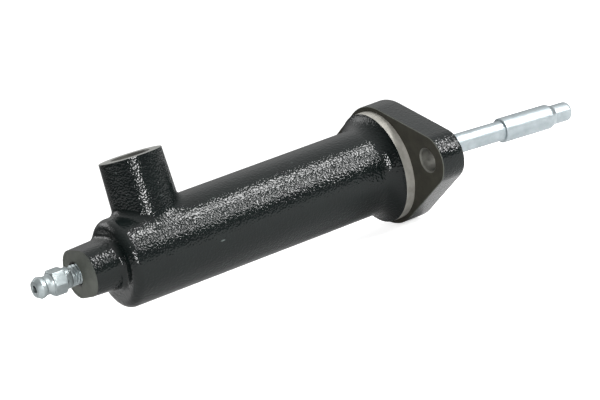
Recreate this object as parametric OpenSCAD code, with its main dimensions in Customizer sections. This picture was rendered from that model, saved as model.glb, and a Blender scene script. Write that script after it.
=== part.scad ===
// Clutch slave cylinder with a two-bolt flange and a swinging push rod.
// The bore runs along X. The closed end lies at -X and the push rod leaves at +X.
// The fluid port points up (+Z) and the flange ears lie along Y.
// X = 0 is the machined mounting face of the flange. All sizes are in millimetres.

/* [Barrel] */
// Outside diameter of the cast barrel
barrel_diameter = 34; // [32:0.5:38]
// Distance from the mounting face to the closed end
closed_end_distance = 121.5; // [112:0.5:150]
// Edge round of the closed end
end_round = 3.5; // [2:0.25:4.5]
// Diameter of the honed bore
bore_diameter = 22.2; // [20:0.1:23.8]
// Wall between the end of the bore and the closed end
end_wall = 7.5; // [6:0.5:10]

/* [Flange] */
// Thickness of the two-bolt flange
flange_thickness = 10.5; // [9:0.5:14]
// Diameter of the round middle of the flange
flange_waist_diameter = 47.4; // [46:0.2:52]
// Distance between the two bolt holes
bolt_spacing = 67; // [62:0.5:80]
// Radius of each flange ear
ear_radius = 10; // [9:0.25:12]
// Diameter of each bolt hole
bolt_hole_diameter = 9; // [8.4:0.1:11]
// Diameter of the register that centres the cylinder in its housing
register_diameter = 43.6; // [42:0.1:46]
// Length of the register in front of the mounting face
register_length = 3.75; // [2.5:0.25:5]
// Length of the cast flare between register and barrel
flare_length = 6.75; // [6:0.25:9]

/* [Fluid port] */
// Distance from the mounting face to the centre of the port
port_distance = 101.5; // [92:0.5:104]
// Height of the port face above the bore axis
port_height = 36; // [33:0.5:42]
// Diameter of the port face
port_face_diameter = 24.1; // [22:0.1:26]
// Draft angle of the port boss
port_draft = 1.6; // [0.5:0.1:2.5]
// Nominal diameter of the port thread
port_thread_diameter = 14; // [10:0.5:16]
// Full depth of the port thread
port_thread_depth = 13; // [10:0.5:14]
// Diameter of the drilled passage below the port
port_passage_diameter = 4.5; // [3:0.5:6]

/* [Bleed boss] */
// Distance of the bleed screw beside the bore axis
bleed_offset = 6.8; // [6:0.1:7]
// Height of the bleed screw above the bore axis
bleed_rise = 0.9; // [0:0.1:1.5]
// Projection of the bleed boss from the closed end
bleed_boss_length = 11.9; // [9:0.1:14]
// End radius of the bleed boss at its machined face
bleed_boss_radius = 9.3; // [8.6:0.1:9.3]
// Draft angle of the bleed boss
bleed_draft = 2.5; // [1:0.25:2.75]

/* [Bleed screw] */
// Nominal diameter of the bleed screw thread
bleed_thread_diameter = 8; // [6:0.5:8.5]
// Width across the flats of the bleed screw
bleed_hex_width = 9; // [8.8:0.1:11]
// Length of the bleed screw hexagon
bleed_hex_length = 6.6; // [5:0.2:8]
// Gap between the boss face and the hexagon
bleed_hex_gap = 3.4; // [2.8:0.1:4.5]
// Diameter of the hose barb
barb_diameter = 7.6; // [7:0.1:8.4]
// Length of the hose nipple
nipple_length = 6.4; // [5.6:0.2:9]
// Diameter of the hole through the nipple
nipple_hole_diameter = 3; // [2:0.2:3.4]
// Turn of the hexagon about its axis
bleed_hex_turn = 14; // [0:1:59]

/* [Push rod] */
// Diameter of the rod shaft
rod_diameter = 8; // [7:0.1:8.4]
// Diameter of the thicker outer part of the rod
rod_thick_diameter = 10; // [9:0.1:11]
// Diameter of the ball in the piston
ball_diameter = 10; // [9:0.1:10]
// Distance of the ball centre behind the mounting face
ball_depth = 7.7; // [7.5:0.1:9.5]
// Distance from the ball centre to the thicker part
rod_step_distance = 65.2; // [60:0.2:80]
// Distance from the ball centre to the end of the thicker part
rod_taper_distance = 88.5; // [86:0.5:100]
// Distance from the ball centre to the domed tip
rod_length = 99.5; // [98:0.5:115]
// Downward lean of the rod as it hangs in the socket
rod_droop = 3.3; // [0:0.1:4.5]

/* [Piston and seals] */
// Length of the piston
piston_length = 42; // [36:0.5:46]
// Free length of the cup seal in front of the piston
cup_length = 7; // [6:0.25:8]
// Wire diameter of the return spring
spring_wire = 1.4; // [1:0.1:1.6]
// Mean diameter of the return spring
spring_mean_diameter = 14; // [12:0.5:14.5]
// Number of turns of the return spring
spring_turns = 12; // [8:1:14]

/* [Dust boot] */
// Reach of the boot beyond the back of the flange
boot_reach = 21; // [19:0.5:24]
// Wall thickness of the boot
boot_wall = 1.5; // [1.2:0.1:1.8]

/* [Hidden] */
// Fits and clearances
slide_clearance = 0.05;
ball_clearance = 0.05;
thread_clearance = 0.04;
seat_gap = 0.02;
overlap = 1;
// Barrel and bore
barrel_radius = barrel_diameter / 2;
bore_radius = bore_diameter / 2;
closed_end_x = -closed_end_distance;
bore_end_x = closed_end_x + end_wall;
register_radius = register_diameter / 2;
flare_rise = register_radius - barrel_radius;
flare_radius = (flare_length * flare_length + flare_rise * flare_rise) / (2 * flare_rise);
flare_start_x = -register_length - flare_length;
// Flange
ear_offset = bolt_spacing / 2;
waist_radius = flange_waist_diameter / 2;
flange_lean = asin((waist_radius - ear_radius) / ear_offset);
bolt_chamfer = 0.5;
// Mouth of the bore: snap ring groove, then the boot recess
washer_thickness = 0.8;
snap_thickness = 1.2;
piston_back_x = -0.6;
washer_x = piston_back_x + seat_gap;
snap_x = washer_x + washer_thickness + seat_gap;
snap_groove_radius = bore_radius + 1.1;
recess_x = snap_x + snap_thickness + 1.2;
recess_radius = bore_radius + 1.4;
boot_groove_x = recess_x + 1.4;
boot_groove_width = 2.6;
boot_groove_radius = recess_radius + 1.2;
// Fluid port
port_x = -port_distance;
port_thread_radius = port_thread_diameter / 2;
port_chamfer = 0.4;
port_floor_z = port_height - port_thread_depth;
// Bleed boss and screw
bleed_face_x = closed_end_x - bleed_boss_length;
bleed_hole_radius = bleed_thread_diameter / 2 + thread_clearance;
bleed_inner_offset = -1.2;
bleed_inner_rise = bleed_rise - 0.5;
bleed_center_distance = bleed_offset - bleed_inner_offset;
bleed_turn = atan((bleed_rise - bleed_inner_rise) / bleed_center_distance);
bleed_root_x = closed_end_x + end_round;
bleed_seat_x = closed_end_x - 0.5;
bleed_passage_radius = 1.25;
bleed_mouth_radius = bleed_hole_radius + 1;
bleed_spot_radius = 8.4;
hex_back_x = bleed_face_x - bleed_hex_gap;
hex_front_x = hex_back_x - bleed_hex_length;
nipple_tip_x = hex_front_x - nipple_length;
// Push rod and socket
rod_radius = rod_diameter / 2;
thick_radius = rod_thick_diameter / 2;
ball_radius = ball_diameter / 2;
ball_x = -ball_depth;
socket_radius = ball_radius + ball_clearance;
socket_mouth_radius = ball_radius + 0.1;
clip_wire_radius = 0.6;
clip_distance = 2.9;
clip_ring_radius = sqrt(pow(ball_radius + clip_wire_radius + 0.05, 2) - clip_distance * clip_distance);
clip_x = ball_x + clip_distance;
// Piston and seals
piston_radius = bore_radius - slide_clearance;
piston_front_x = piston_back_x - piston_length;
guide_groove_x = piston_front_x + 8;
guide_groove_width = 3.2;
guide_groove_radius = piston_radius - 2.4;
cup_base_x = piston_front_x - seat_gap;
cup_tip_x = cup_base_x - cup_length;
cup_base_thickness = 2.4;
cup_lip = 1.6;
seat_x = cup_base_x - cup_base_thickness - seat_gap;
seat_thickness = 1;
seat_radius = bore_radius - cup_lip - 0.5;
spring_radius = spring_mean_diameter / 2;
spring_front_x = seat_x - seat_thickness - seat_gap;
spring_back_x = bore_end_x + seat_gap;
// Dust boot
boot_mouth_x = flange_thickness + 0.3;
boot_tip_x = flange_thickness + boot_reach;
boot_lip_length = 3.5;
boot_lean = tan(rod_droop) * (boot_tip_x - boot_lip_length / 2 - ball_x);
boot_shear = boot_lean / (boot_tip_x - boot_lip_length / 2 - boot_mouth_x);

$fn = 96;

// Turns a profile drawn as (radius, station) about the X axis
module turned(angle = 360) {
    rotate([0, 90, 0])
        rotate_extrude(angle = angle)
            children();
}

// Cylinder along X between two stations
module round_x(from, to, radius, end_radius = -1) {
    translate([from, 0, 0])
        rotate([0, 90, 0])
            cylinder(h = to - from, r1 = radius, r2 = end_radius < 0 ? radius : end_radius);
}

// Rectangle in a turned profile
module band(from, to, inner, outer) {
    translate([inner, from])
        square([outer - inner, to - from]);
}

// Barrel, flare and register as one turned profile
module barrel_profile() {
    band(closed_end_x + end_round, 1, 0, barrel_radius);
    band(closed_end_x, closed_end_x + end_round + 0.5, 0, barrel_radius - end_round);
    translate([barrel_radius - end_round, closed_end_x + end_round])
        circle(r = end_round);
    band(-register_length, 1, 0, register_radius);
    difference() {
        band(flare_start_x, -register_length + 0.5, barrel_radius - 2, register_radius);
        translate([barrel_radius + flare_radius, flare_start_x])
            circle(r = flare_radius);
    }
}

// Flange outline: a round middle and two ears joined by straight tangent sides
module flange_outline() {
    circle(r = waist_radius);
    for (side = [-1, 1]) {
        translate([0, side * ear_offset])
            circle(r = ear_radius);
        polygon([
            [waist_radius * cos(flange_lean), side * waist_radius * sin(flange_lean)],
            [ear_radius * cos(flange_lean), side * (ear_offset + ear_radius * sin(flange_lean))],
            [-ear_radius * cos(flange_lean), side * (ear_offset + ear_radius * sin(flange_lean))],
            [-waist_radius * cos(flange_lean), side * waist_radius * sin(flange_lean)]
        ]);
    }
}

module flange() {
    rotate([0, 90, 0])
        linear_extrude(height = flange_thickness)
            flange_outline();
}

// Port boss with casting draft
module port_boss() {
    boss_root = port_height - 8;
    translate([port_x, 0, port_height - boss_root])
        cylinder(
            h = boss_root,
            r1 = port_face_diameter / 2 + boss_root * tan(port_draft),
            r2 = port_face_diameter / 2
        );
}

// One tapered end of the bleed boss
module bleed_boss_end(offset, rise) {
    translate([0, offset, rise])
        round_x(
            bleed_face_x,
            bleed_root_x,
            bleed_boss_radius,
            bleed_boss_radius + (bleed_root_x - bleed_face_x) * tan(bleed_draft)
        );
}

// Bleed boss: two tapered ends and the tapered block between them, a hair narrower so that the ends pass over it
module bleed_boss() {
    length = bleed_root_x - bleed_face_x;
    narrow = bleed_boss_radius - 0.02;
    wide = narrow + length * tan(bleed_draft);
    bleed_boss_end(bleed_offset, bleed_rise);
    bleed_boss_end(bleed_inner_offset, bleed_inner_rise);
    translate([bleed_face_x, bleed_inner_offset, bleed_inner_rise])
        rotate([bleed_turn, 0, 0])
            rotate([-90, 0, 0])
                linear_extrude(height = bleed_center_distance / cos(bleed_turn))
                    polygon([[0, -narrow], [length, -wide], [length, wide], [0, narrow]]);
}

// Everything bored along the main axis
module main_bore() {
    turned() {
        band(bore_end_x, recess_x + 0.1, 0, bore_radius);
        band(snap_x - 0.05, snap_x + snap_thickness + 0.05, 0, snap_groove_radius);
        band(recess_x, flange_thickness + overlap, 0, recess_radius);
        band(boot_groove_x, boot_groove_x + boot_groove_width, 0, boot_groove_radius);
        polygon([[0, flange_thickness - 0.6], [recess_radius, flange_thickness - 0.6],
                 [recess_radius + 0.8, flange_thickness + 0.2], [0, flange_thickness + 0.2]]);
    }
}

// Port thread, its chamfer and the passage to the bore
module port_bore() {
    translate([port_x, 0, port_floor_z])
        cylinder(h = port_thread_depth + overlap, r = port_thread_radius);
    translate([port_x, 0, port_height - port_chamfer])
        cylinder(h = 2 * port_chamfer, r1 = port_thread_radius, r2 = port_thread_radius + 2 * port_chamfer);
    translate([port_x, 0, port_floor_z - 2])
        cylinder(h = 2.01, r1 = port_passage_diameter / 2, r2 = port_thread_radius - 1);
    translate([port_x, 0, 0])
        cylinder(h = port_floor_z, r = port_passage_diameter / 2);
}

// Bleed thread, seat cone, passage and the shallow machined marks on the boss face
module bleed_bore() {
    translate([0, bleed_offset, bleed_rise]) {
        round_x(bleed_face_x - overlap, bleed_seat_x, bleed_hole_radius);
        round_x(bleed_seat_x - 0.01, bleed_seat_x + 2.8, bleed_hole_radius, bleed_passage_radius);
        round_x(bleed_seat_x, bore_end_x + overlap, bleed_passage_radius);
        round_x(bleed_face_x - 1, bleed_face_x + 1, bleed_mouth_radius + 1, bleed_mouth_radius - 1);
        round_x(bleed_face_x - 1, bleed_face_x + 0.15, bleed_spot_radius);
    }
}

module bolt_holes() {
    for (side = [-1, 1])
        translate([0, side * ear_offset, 0]) {
            radius = bolt_hole_diameter / 2;
            round_x(-overlap, flange_thickness + overlap, radius);
            round_x(-bolt_chamfer, bolt_chamfer, radius + 2 * bolt_chamfer, radius);
            round_x(flange_thickness - bolt_chamfer, flange_thickness + bolt_chamfer, radius, radius + 2 * bolt_chamfer);
        }
}

// Cast body, machined where it mates
module cylinder_body() {
    color([0.10, 0.11, 0.11])
        difference() {
            union() {
                turned()
                    barrel_profile();
                flange();
                port_boss();
                bleed_boss();
            }
            main_bore();
            port_bore();
            bleed_bore();
            bolt_holes();
        }
}

// Turned profile of the bleed screw without its hexagon
module bleed_screw_profile() {
    thread_radius = bleed_thread_diameter / 2;
    barb_radius = barb_diameter / 2;
    groove_radius = barb_radius - 0.85;
    collar_radius = thread_radius + 0.1;
    seat_back = bleed_seat_x + 0.3;
    polygon([
        [0, nipple_tip_x],
        [barb_radius - 0.9, nipple_tip_x],
        [barb_radius - 0.1, nipple_tip_x + 1.9],
        [barb_radius, nipple_tip_x + 2.2],
        [barb_radius, nipple_tip_x + 2.9],
        [groove_radius, nipple_tip_x + 3.3],
        [groove_radius, nipple_tip_x + 4.1],
        [barb_radius, nipple_tip_x + 5.2],
        [barb_radius, hex_front_x + 0.5],
        [0, hex_front_x + 0.5]
    ]);
    polygon([
        [0, hex_back_x - 0.5],
        [collar_radius, hex_back_x - 0.5],
        [collar_radius, hex_back_x + 1.4],
        [thread_radius - 0.7, hex_back_x + 1.7],
        [thread_radius - 0.7, hex_back_x + 2.3],
        [thread_radius, hex_back_x + 2.8],
        [thread_radius, seat_back - 1.2],
        [thread_radius - 0.9, seat_back - 0.6],
        [thread_radius - 0.9, seat_back],
        [1.6, bleed_seat_x + 2.2],
        [0, bleed_seat_x + 2.2]
    ]);
}

// Hexagon with both ends chamfered
module bleed_hex() {
    corner_radius = bleed_hex_width / sqrt(3);
    intersection() {
        translate([hex_front_x, 0, 0])
            rotate([bleed_hex_turn, 0, 0])
                rotate([0, 90, 0])
                    cylinder(h = bleed_hex_length, r = corner_radius, $fn = 6);
        turned()
            polygon([
                [0, hex_front_x],
                [bleed_hex_width / 2 - 0.1, hex_front_x],
                [corner_radius + 0.05, hex_front_x + 0.5],
                [corner_radius + 0.05, hex_back_x - 0.5],
                [bleed_hex_width / 2 - 0.1, hex_back_x],
                [0, hex_back_x]
            ]);
    }
}

module bleed_screw() {
    color([0.78, 0.79, 0.77])
        translate([0, bleed_offset, bleed_rise])
            difference() {
                union() {
                    turned()
                        bleed_screw_profile();
                    bleed_hex();
                }
                round_x(nipple_tip_x - overlap, bleed_seat_x - 2.5, nipple_hole_diameter / 2);
                translate([bleed_seat_x - 3.8, 0, -6])
                    cylinder(h = 12, r = 0.8);
            }
}

// Profile of the rod, with its ball at station zero
module push_rod_profile() {
    neck_radius = rod_radius - 0.8;
    tip_radius = rod_radius - 0.1;
    tip_round = 2.4;
    circle_cut = sqrt(ball_radius * ball_radius - neck_radius * neck_radius);
    intersection() {
        circle(r = ball_radius);
        band(-ball_radius, circle_cut + 0.2, 0, ball_radius);
    }
    polygon([
        [0, 0],
        [neck_radius, circle_cut - 0.4],
        [neck_radius, ball_radius + 1.5],
        [rod_radius, ball_radius + 2.6],
        [rod_radius, rod_step_distance],
        [thick_radius - 0.2, rod_step_distance],
        [thick_radius, rod_step_distance + 0.2],
        [thick_radius, rod_taper_distance],
        [tip_radius, rod_taper_distance + 2.5],
        [tip_radius, rod_length - 3],
        [0, rod_length - 3]
    ]);
    // Domed tip: a round shoulder and a flatter middle
    intersection() {
        translate([tip_radius - tip_round, rod_length - tip_round - 0.3])
            circle(r = tip_round);
        band(rod_length - 4, rod_length, tip_radius - tip_round - 0.2, tip_radius);
    }
    intersection() {
        band(rod_length - 4, rod_length, 0, tip_radius - tip_round);
        translate([0, rod_length - 12])
            circle(r = 12);
    }
    band(rod_length - 4, rod_length - tip_round - 0.3, 0, tip_radius);
}

module push_rod() {
    color([0.76, 0.79, 0.82])
        translate([ball_x, 0, 0])
            rotate([0, rod_droop, 0])
                turned()
                    push_rod_profile();
}

// Wire clip that keeps the ball in the piston
module rod_clip() {
    color([0.55, 0.56, 0.58])
        rotate([20, 0, 0])
            turned(320)
                translate([clip_ring_radius, clip_x])
                    circle(r = clip_wire_radius, $fn = 24);
}

// Piston with a ball socket at the back and a groove for the guide seal
module piston() {
    color([0.72, 0.74, 0.75])
        difference() {
            turned()
                difference() {
                    polygon([
                        [0, piston_front_x],
                        [piston_radius - 0.6, piston_front_x],
                        [piston_radius, piston_front_x + 0.6],
                        [piston_radius, piston_back_x - 0.6],
                        [piston_radius - 0.6, piston_back_x],
                        [0, piston_back_x]
                    ]);
                    band(guide_groove_x, guide_groove_x + guide_groove_width, guide_groove_radius, piston_radius + 1);
                    intersection() {
                        translate([0, ball_x])
                            circle(r = socket_radius);
                        band(ball_x - socket_radius - 1, ball_x + 0.5, 0, socket_radius + 1);
                    }
                    band(ball_x, piston_back_x + overlap, 0, socket_mouth_radius);
                    band(clip_x - clip_wire_radius - 0.05, clip_x + clip_wire_radius + 0.05, 0,
                         clip_ring_radius + clip_wire_radius + 0.05);
                    polygon([[0, piston_back_x - 1], [socket_mouth_radius, piston_back_x - 1],
                             [socket_mouth_radius + 1.2, piston_back_x + 0.2], [0, piston_back_x + 0.2]]);
                }
        }
}

// Square-cut seal ring in the groove of the piston
module guide_seal() {
    color([0.09, 0.09, 0.09])
        turned()
            polygon([
                [guide_groove_radius + seat_gap, guide_groove_x + 0.3],
                [bore_radius - 0.4, guide_groove_x + 0.3],
                [bore_radius - 0.02, guide_groove_x + 0.9],
                [bore_radius - 0.02, guide_groove_x + guide_groove_width - 0.9],
                [bore_radius - 0.4, guide_groove_x + guide_groove_width - 0.3],
                [guide_groove_radius + seat_gap, guide_groove_x + guide_groove_width - 0.3]
            ]);
}

// Cup seal with its lip towards the fluid
module pressure_cup() {
    color([0.08, 0.08, 0.08])
        turned()
            polygon([
                [0, cup_base_x],
                [bore_radius - 0.9, cup_base_x],
                [bore_radius - 0.5, cup_base_x - 0.8],
                [bore_radius - 0.02, cup_tip_x + 1.2],
                [bore_radius - 0.3, cup_tip_x],
                [bore_radius - 0.7, cup_tip_x],
                [bore_radius - cup_lip - 0.3, cup_base_x - cup_base_thickness - 0.6],
                [bore_radius - cup_lip - 0.9, cup_base_x - cup_base_thickness],
                [0, cup_base_x - cup_base_thickness]
            ]);
}

// Pressed seat between the cup seal and the return spring
module spring_seat() {
    guide = spring_radius - spring_wire / 2 - 0.3;
    color([0.70, 0.71, 0.70])
        turned()
            polygon([
                [2, seat_x],
                [spring_radius + spring_wire / 2 + 0.6, seat_x],
                [spring_radius + spring_wire / 2 + 0.6, seat_x - seat_thickness],
                [guide, seat_x - seat_thickness],
                [guide - 0.3, seat_x - seat_thickness - 2.2],
                [guide - 1.3, seat_x - seat_thickness - 2.2],
                [guide - 1.1, seat_x - seat_thickness],
                [2, seat_x - seat_thickness]
            ]);
}

// Centre line of the spring: closed end turns and evenly open turns between them
function spring_station(turn) =
    let (
        length = spring_front_x - spring_back_x - spring_wire,
        open_turns = spring_turns - 2,
        pitch = (length - 2 * spring_wire) / open_turns
    )
    turn < 1 ? turn * spring_wire
    : turn > spring_turns - 1 ? length - (spring_turns - turn) * spring_wire
    : spring_wire + (turn - 1) * pitch;

// Return spring as a swept round wire
module return_spring() {
    steps = 20;
    sides = 8;
    count = spring_turns * steps;
    wire = spring_wire / 2;
    points = [
        for (i = [0 : count])
            let (
                turn = i / steps,
                angle = 360 * turn,
                station = spring_back_x + wire + spring_station(turn)
            )
            for (k = [0 : sides - 1])
                let (
                    around = 360 * k / sides,
                    radius = spring_radius + wire * cos(around)
                )
                [station + wire * sin(around), radius * cos(angle), radius * sin(angle)]
    ];
    side_faces = [
        for (i = [0 : count - 1])
            for (k = [0 : sides - 1])
                let (a = i * sides + k, b = i * sides + (k + 1) % sides)
                for (face = [[a, a + sides, b], [b, a + sides, b + sides]]) face
    ];
    start_face = [[for (k = [0 : sides - 1]) k]];
    end_face = [[for (k = [sides - 1 : -1 : 0]) count * sides + k]];
    color([0.62, 0.63, 0.64])
        polyhedron(points = points, faces = concat(side_faces, start_face, end_face), convexity = 10);
}

// Flat washer that stops the piston
module stop_washer() {
    color([0.74, 0.74, 0.72])
        turned()
            band(washer_x, washer_x + washer_thickness, rod_radius + 2.4, bore_radius - 0.15);
}

// Internal snap ring with two plier eyes
module snap_ring() {
    inner = bore_radius - 1.8;
    outer = snap_groove_radius - 0.1;
    color([0.30, 0.30, 0.31])
        translate([snap_x, 0, 0])
            rotate([0, 90, 0])
                linear_extrude(height = snap_thickness)
                    difference() {
                        union() {
                            difference() {
                                circle(r = outer);
                                circle(r = inner);
                            }
                            for (side = [-1, 1])
                                translate([-inner, side * 3])
                                    circle(r = 1.9);
                        }
                        difference() {
                            circle(r = outer + 4);
                            circle(r = outer);
                        }
                        translate([-outer - 1, -1.4])
                            square([5, 2.8]);
                        for (side = [-1, 1])
                            translate([-inner, side * 3])
                                circle(r = 0.8);
                    }
}

// Outer edge of the boot, then its inner edge one wall further in
function boot_outline(inset) = [
    [12.2 - inset, boot_mouth_x],
    [13.0 - inset, boot_mouth_x + 2.5],
    [10.2 - inset, boot_mouth_x + 5.0],
    [11.6 - inset, boot_mouth_x + 7.5],
    [9.0 - inset, boot_mouth_x + 10.0],
    [10.2 - inset, boot_mouth_x + 12.5],
    [7.4 - inset, boot_mouth_x + 15.2]
];

// Rubber boot: a bead in the flange recess, three folds and a lip that grips the rod
module dust_boot() {
    lip_x = boot_tip_x - boot_lip_length;
    outer = boot_outline(0);
    inner = boot_outline(boot_wall);
    color([0.07, 0.07, 0.07])
        difference() {
            union() {
                turned() {
                    band(boot_groove_x + 0.2, boot_groove_x + boot_groove_width - 0.2,
                         recess_radius - 1.6, boot_groove_radius - 0.2);
                    band(boot_groove_x + 0.4, boot_mouth_x + 0.4, 12.2 - boot_wall, recess_radius - 0.1);
                }
                multmatrix([[1, 0, 0, 0], [0, 1, 0, 0], [-boot_shear, 0, 1, boot_shear * boot_mouth_x], [0, 0, 0, 1]])
                    turned()
                        polygon(concat(
                            outer,
                            [[rod_radius + 2, lip_x], [rod_radius + 2, boot_tip_x],
                             [rod_radius - 0.8, boot_tip_x], [rod_radius - 0.8, lip_x - 0.6]],
                            [for (i = [len(inner) - 1 : -1 : 0]) inner[i]]
                        ));
            }
            translate([ball_x, 0, 0])
                rotate([0, rod_droop, 0])
                    round_x(ball_radius + 8, boot_tip_x - ball_x + 2, rod_radius + 0.03);
        }
}

cylinder_body();
bleed_screw();
push_rod();
rod_clip();
piston();
guide_seal();
pressure_cup();
spring_seat();
return_spring();
stop_washer();
snap_ring();
dust_boot();
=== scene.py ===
import logging
import math
from dataclasses import dataclass, field, replace
from enum import Enum
from typing import Any, Callable, Iterable, Sequence, Union

import bmesh
import bpy
from mathutils import Matrix, Vector


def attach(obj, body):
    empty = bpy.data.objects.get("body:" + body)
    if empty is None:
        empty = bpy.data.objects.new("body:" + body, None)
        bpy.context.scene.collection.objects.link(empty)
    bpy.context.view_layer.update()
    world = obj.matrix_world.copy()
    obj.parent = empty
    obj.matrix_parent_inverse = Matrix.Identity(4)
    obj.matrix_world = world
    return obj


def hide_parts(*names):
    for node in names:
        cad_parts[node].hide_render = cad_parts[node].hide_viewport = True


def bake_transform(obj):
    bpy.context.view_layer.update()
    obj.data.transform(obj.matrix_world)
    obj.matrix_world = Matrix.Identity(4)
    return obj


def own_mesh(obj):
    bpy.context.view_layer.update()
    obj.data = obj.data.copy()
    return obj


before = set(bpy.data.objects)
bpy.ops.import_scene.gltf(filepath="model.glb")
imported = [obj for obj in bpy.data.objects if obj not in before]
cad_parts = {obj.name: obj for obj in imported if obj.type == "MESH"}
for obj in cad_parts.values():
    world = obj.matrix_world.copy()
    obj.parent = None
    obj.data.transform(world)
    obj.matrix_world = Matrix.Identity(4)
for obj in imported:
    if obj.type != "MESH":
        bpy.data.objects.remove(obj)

# Dresses a clutch slave cylinder: a painted iron casting with machined faces, a zinc-plated push rod and
# bleed screw, and the rubber boot. Lengths in the classes are millimetres in the part's own frame.

logging.basicConfig(level=logging.INFO, format="%(message)s")
log = logging.getLogger("slave_cylinder")

MM = 0.001
FULL_TURN = 2 * math.pi
TINY_RADIUS = 0.01
SLIVER_MM = 0.001

# Places and sizes that more than one piece shares
PORT_STATION = -101.5
BLEED_CENTRE = (6.8, 0.9)
BLEED_SEAT = -122.0
BALL_STATION = -7.7
ROD_DROOP = 3.3
ROD_RADIUS = 4.0

RadiusRule = Union[float, Callable[[float], float]]
Ring = list[Vector]
Profile = list[tuple[float, float]]


# Node and mesh helpers


def linear(hex_colour: str) -> tuple[float, float, float, float]:
    """Turns an sRGB hex colour into linear values.

    Args:
        hex_colour: Six hex digits with a leading hash sign.

    Returns:
        Red, green, blue and an alpha of one.
    """
    channels = [int(hex_colour[i:i + 2], 16) / 255 for i in (1, 3, 5)]
    red, green, blue = [c / 12.92 if c <= 0.04045 else ((c + 0.055) / 1.055) ** 2.4 for c in channels]
    return red, green, blue, 1.0


def add_node(tree: bpy.types.NodeTree, kind: str, settings: dict[str, Any], links: dict[Any, Any]) -> bpy.types.Node:
    """Adds one shader node.

    Args:
        tree: The node tree that takes the node.
        kind: The node's type name without its Shader prefix, such as TexNoise.
        settings: Attribute names, or input names and numbers, with their values.
        links: Input names or numbers with the output socket that feeds each.

    Returns:
        The new node.
    """
    node = tree.nodes.new("ShaderNode" + kind)
    for name, value in settings.items():
        if isinstance(name, str) and hasattr(node, name):
            setattr(node, name, value)
        else:
            node.inputs[name].default_value = value
    for name, socket in links.items():
        tree.links.new(socket, node.inputs[name])
    return node


def axis_point(axis: str, station: float, radius: float, angle: float, centre: tuple[float, float]) -> Vector:
    """Gives a point at an angle round a line along X or Z.

    Args:
        axis: "X" or "Z".
        station: Place along the axis.
        radius: Distance from the axis.
        angle: Angle in radians, from +Y for X and from +X for Z.
        centre: Where the axis crosses the other two directions, in their order.

    Returns:
        The point in millimetres.
    """
    across, up = centre[0] + radius * math.cos(angle), centre[1] + radius * math.sin(angle)
    return Vector((station, across, up)) if axis == "X" else Vector((across, up, station))


def turned_ring(
    station: float, radius: RadiusRule, axis: str = "X", centre: tuple[float, float] = (0, 0), count: int = 192,
) -> Ring:
    """Makes one ring of a turned or threaded form.

    Args:
        station: Place along the axis.
        radius: One radius, or a rule that gives it for an angle.
        axis: "X" or "Z".
        centre: Where the axis crosses the other two directions.
        count: Points in the ring.

    Returns:
        The ring's points.
    """
    angles = [FULL_TURN * i / count for i in range(count)]
    return [axis_point(axis, station, radius(a) if callable(radius) else radius, a, centre) for a in angles]


def rounded(corners: Sequence[tuple[float, float, float]], steps: int) -> Profile:
    """Rounds the corners of a profile with true arcs.

    Args:
        corners: Each corner as radius, station and the radius of its round, zero for a sharp one.
        steps: Segments in each arc.

    Returns:
        The profile's points as radius and station.
    """
    points: Profile = []
    for i, (radius, station, fillet) in enumerate(corners):
        corner = Vector((radius, station))
        if fillet <= 0 or i in (0, len(corners) - 1):
            points.append((radius, station))
            continue
        back, ahead = Vector(corners[i - 1][:2]) - corner, Vector(corners[i + 1][:2]) - corner
        half = back.angle(ahead) / 2
        reach = min(fillet / math.tan(half), 0.49 * min(back.length, ahead.length))
        middle = corner + (back.normalized() + ahead.normalized()).normalized() * reach / math.cos(half)
        start, end = corner + back.normalized() * reach - middle, corner + ahead.normalized() * reach - middle
        sweep = start.angle(end)
        for k in range(steps + 1):
            share = k / steps
            arm = (start * math.sin((1 - share) * sweep) + end * math.sin(share * sweep)) / math.sin(sweep)
            points.append(tuple(middle + arm))
    return points


def loft(name: str, rings: Sequence[Ring], closed: bool = False) -> bpy.types.Object:
    """Joins rings of equal length into one closed mesh, and turns millimetres into metres.

    Args:
        name: The object's name.
        rings: The rings in order.
        closed: True where the last ring joins the first, False where both ends get a cap.

    Returns:
        The new object.
    """
    mesh = bpy.data.meshes.new(name)
    draft = bmesh.new()
    rows = [[draft.verts.new(p * MM) for p in ring] for ring in rings]
    pairs = list(zip(rows, rows[1:])) + ([(rows[-1], rows[0])] if closed else [])
    for row, after in pairs:
        count = len(row)
        for i in range(count):
            j = (i + 1) % count
            draft.faces.new((row[i], row[j], after[j], after[i]))
    if not closed:
        draft.faces.new(rows[0])
        draft.faces.new(rows[-1])
    bmesh.ops.recalc_face_normals(draft, faces=draft.faces)
    draft.to_mesh(mesh)
    draft.free()
    piece = bpy.data.objects.new(name, mesh)
    bpy.context.scene.collection.objects.link(piece)
    return piece


def turned(name: str, profile: Profile, centre: tuple[float, float] = (0, 0), count: int = 192) -> bpy.types.Object:
    """Turns a profile about a line along X.

    Args:
        name: The object's name.
        profile: Points as radius and station; a zero radius becomes a tiny one.
        centre: Where the line crosses Y and Z.
        count: Points in each ring.

    Returns:
        The new object.
    """
    return loft(name, [turned_ring(s, max(r, TINY_RADIUS), "X", centre, count) for r, s in profile])


def combine(base: bpy.types.Object, tools: Iterable[bpy.types.Object], operation: str) -> None:
    """Joins or cuts closed meshes and removes the tools.

    Args:
        base: The object that keeps the result.
        tools: The objects that are joined or cut away.
        operation: "UNION" or "DIFFERENCE".
    """
    for tool in tools:
        modifier = base.modifiers.new("combine", "BOOLEAN")
        modifier.operation, modifier.solver, modifier.object = operation, "MANIFOLD", tool
        bpy.context.view_layer.update()
        result = bpy.data.meshes.new_from_object(base.evaluated_get(bpy.context.evaluated_depsgraph_get()))
        base.modifiers.remove(modifier)
        base.data = result
        bpy.data.objects.remove(tool)


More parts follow.
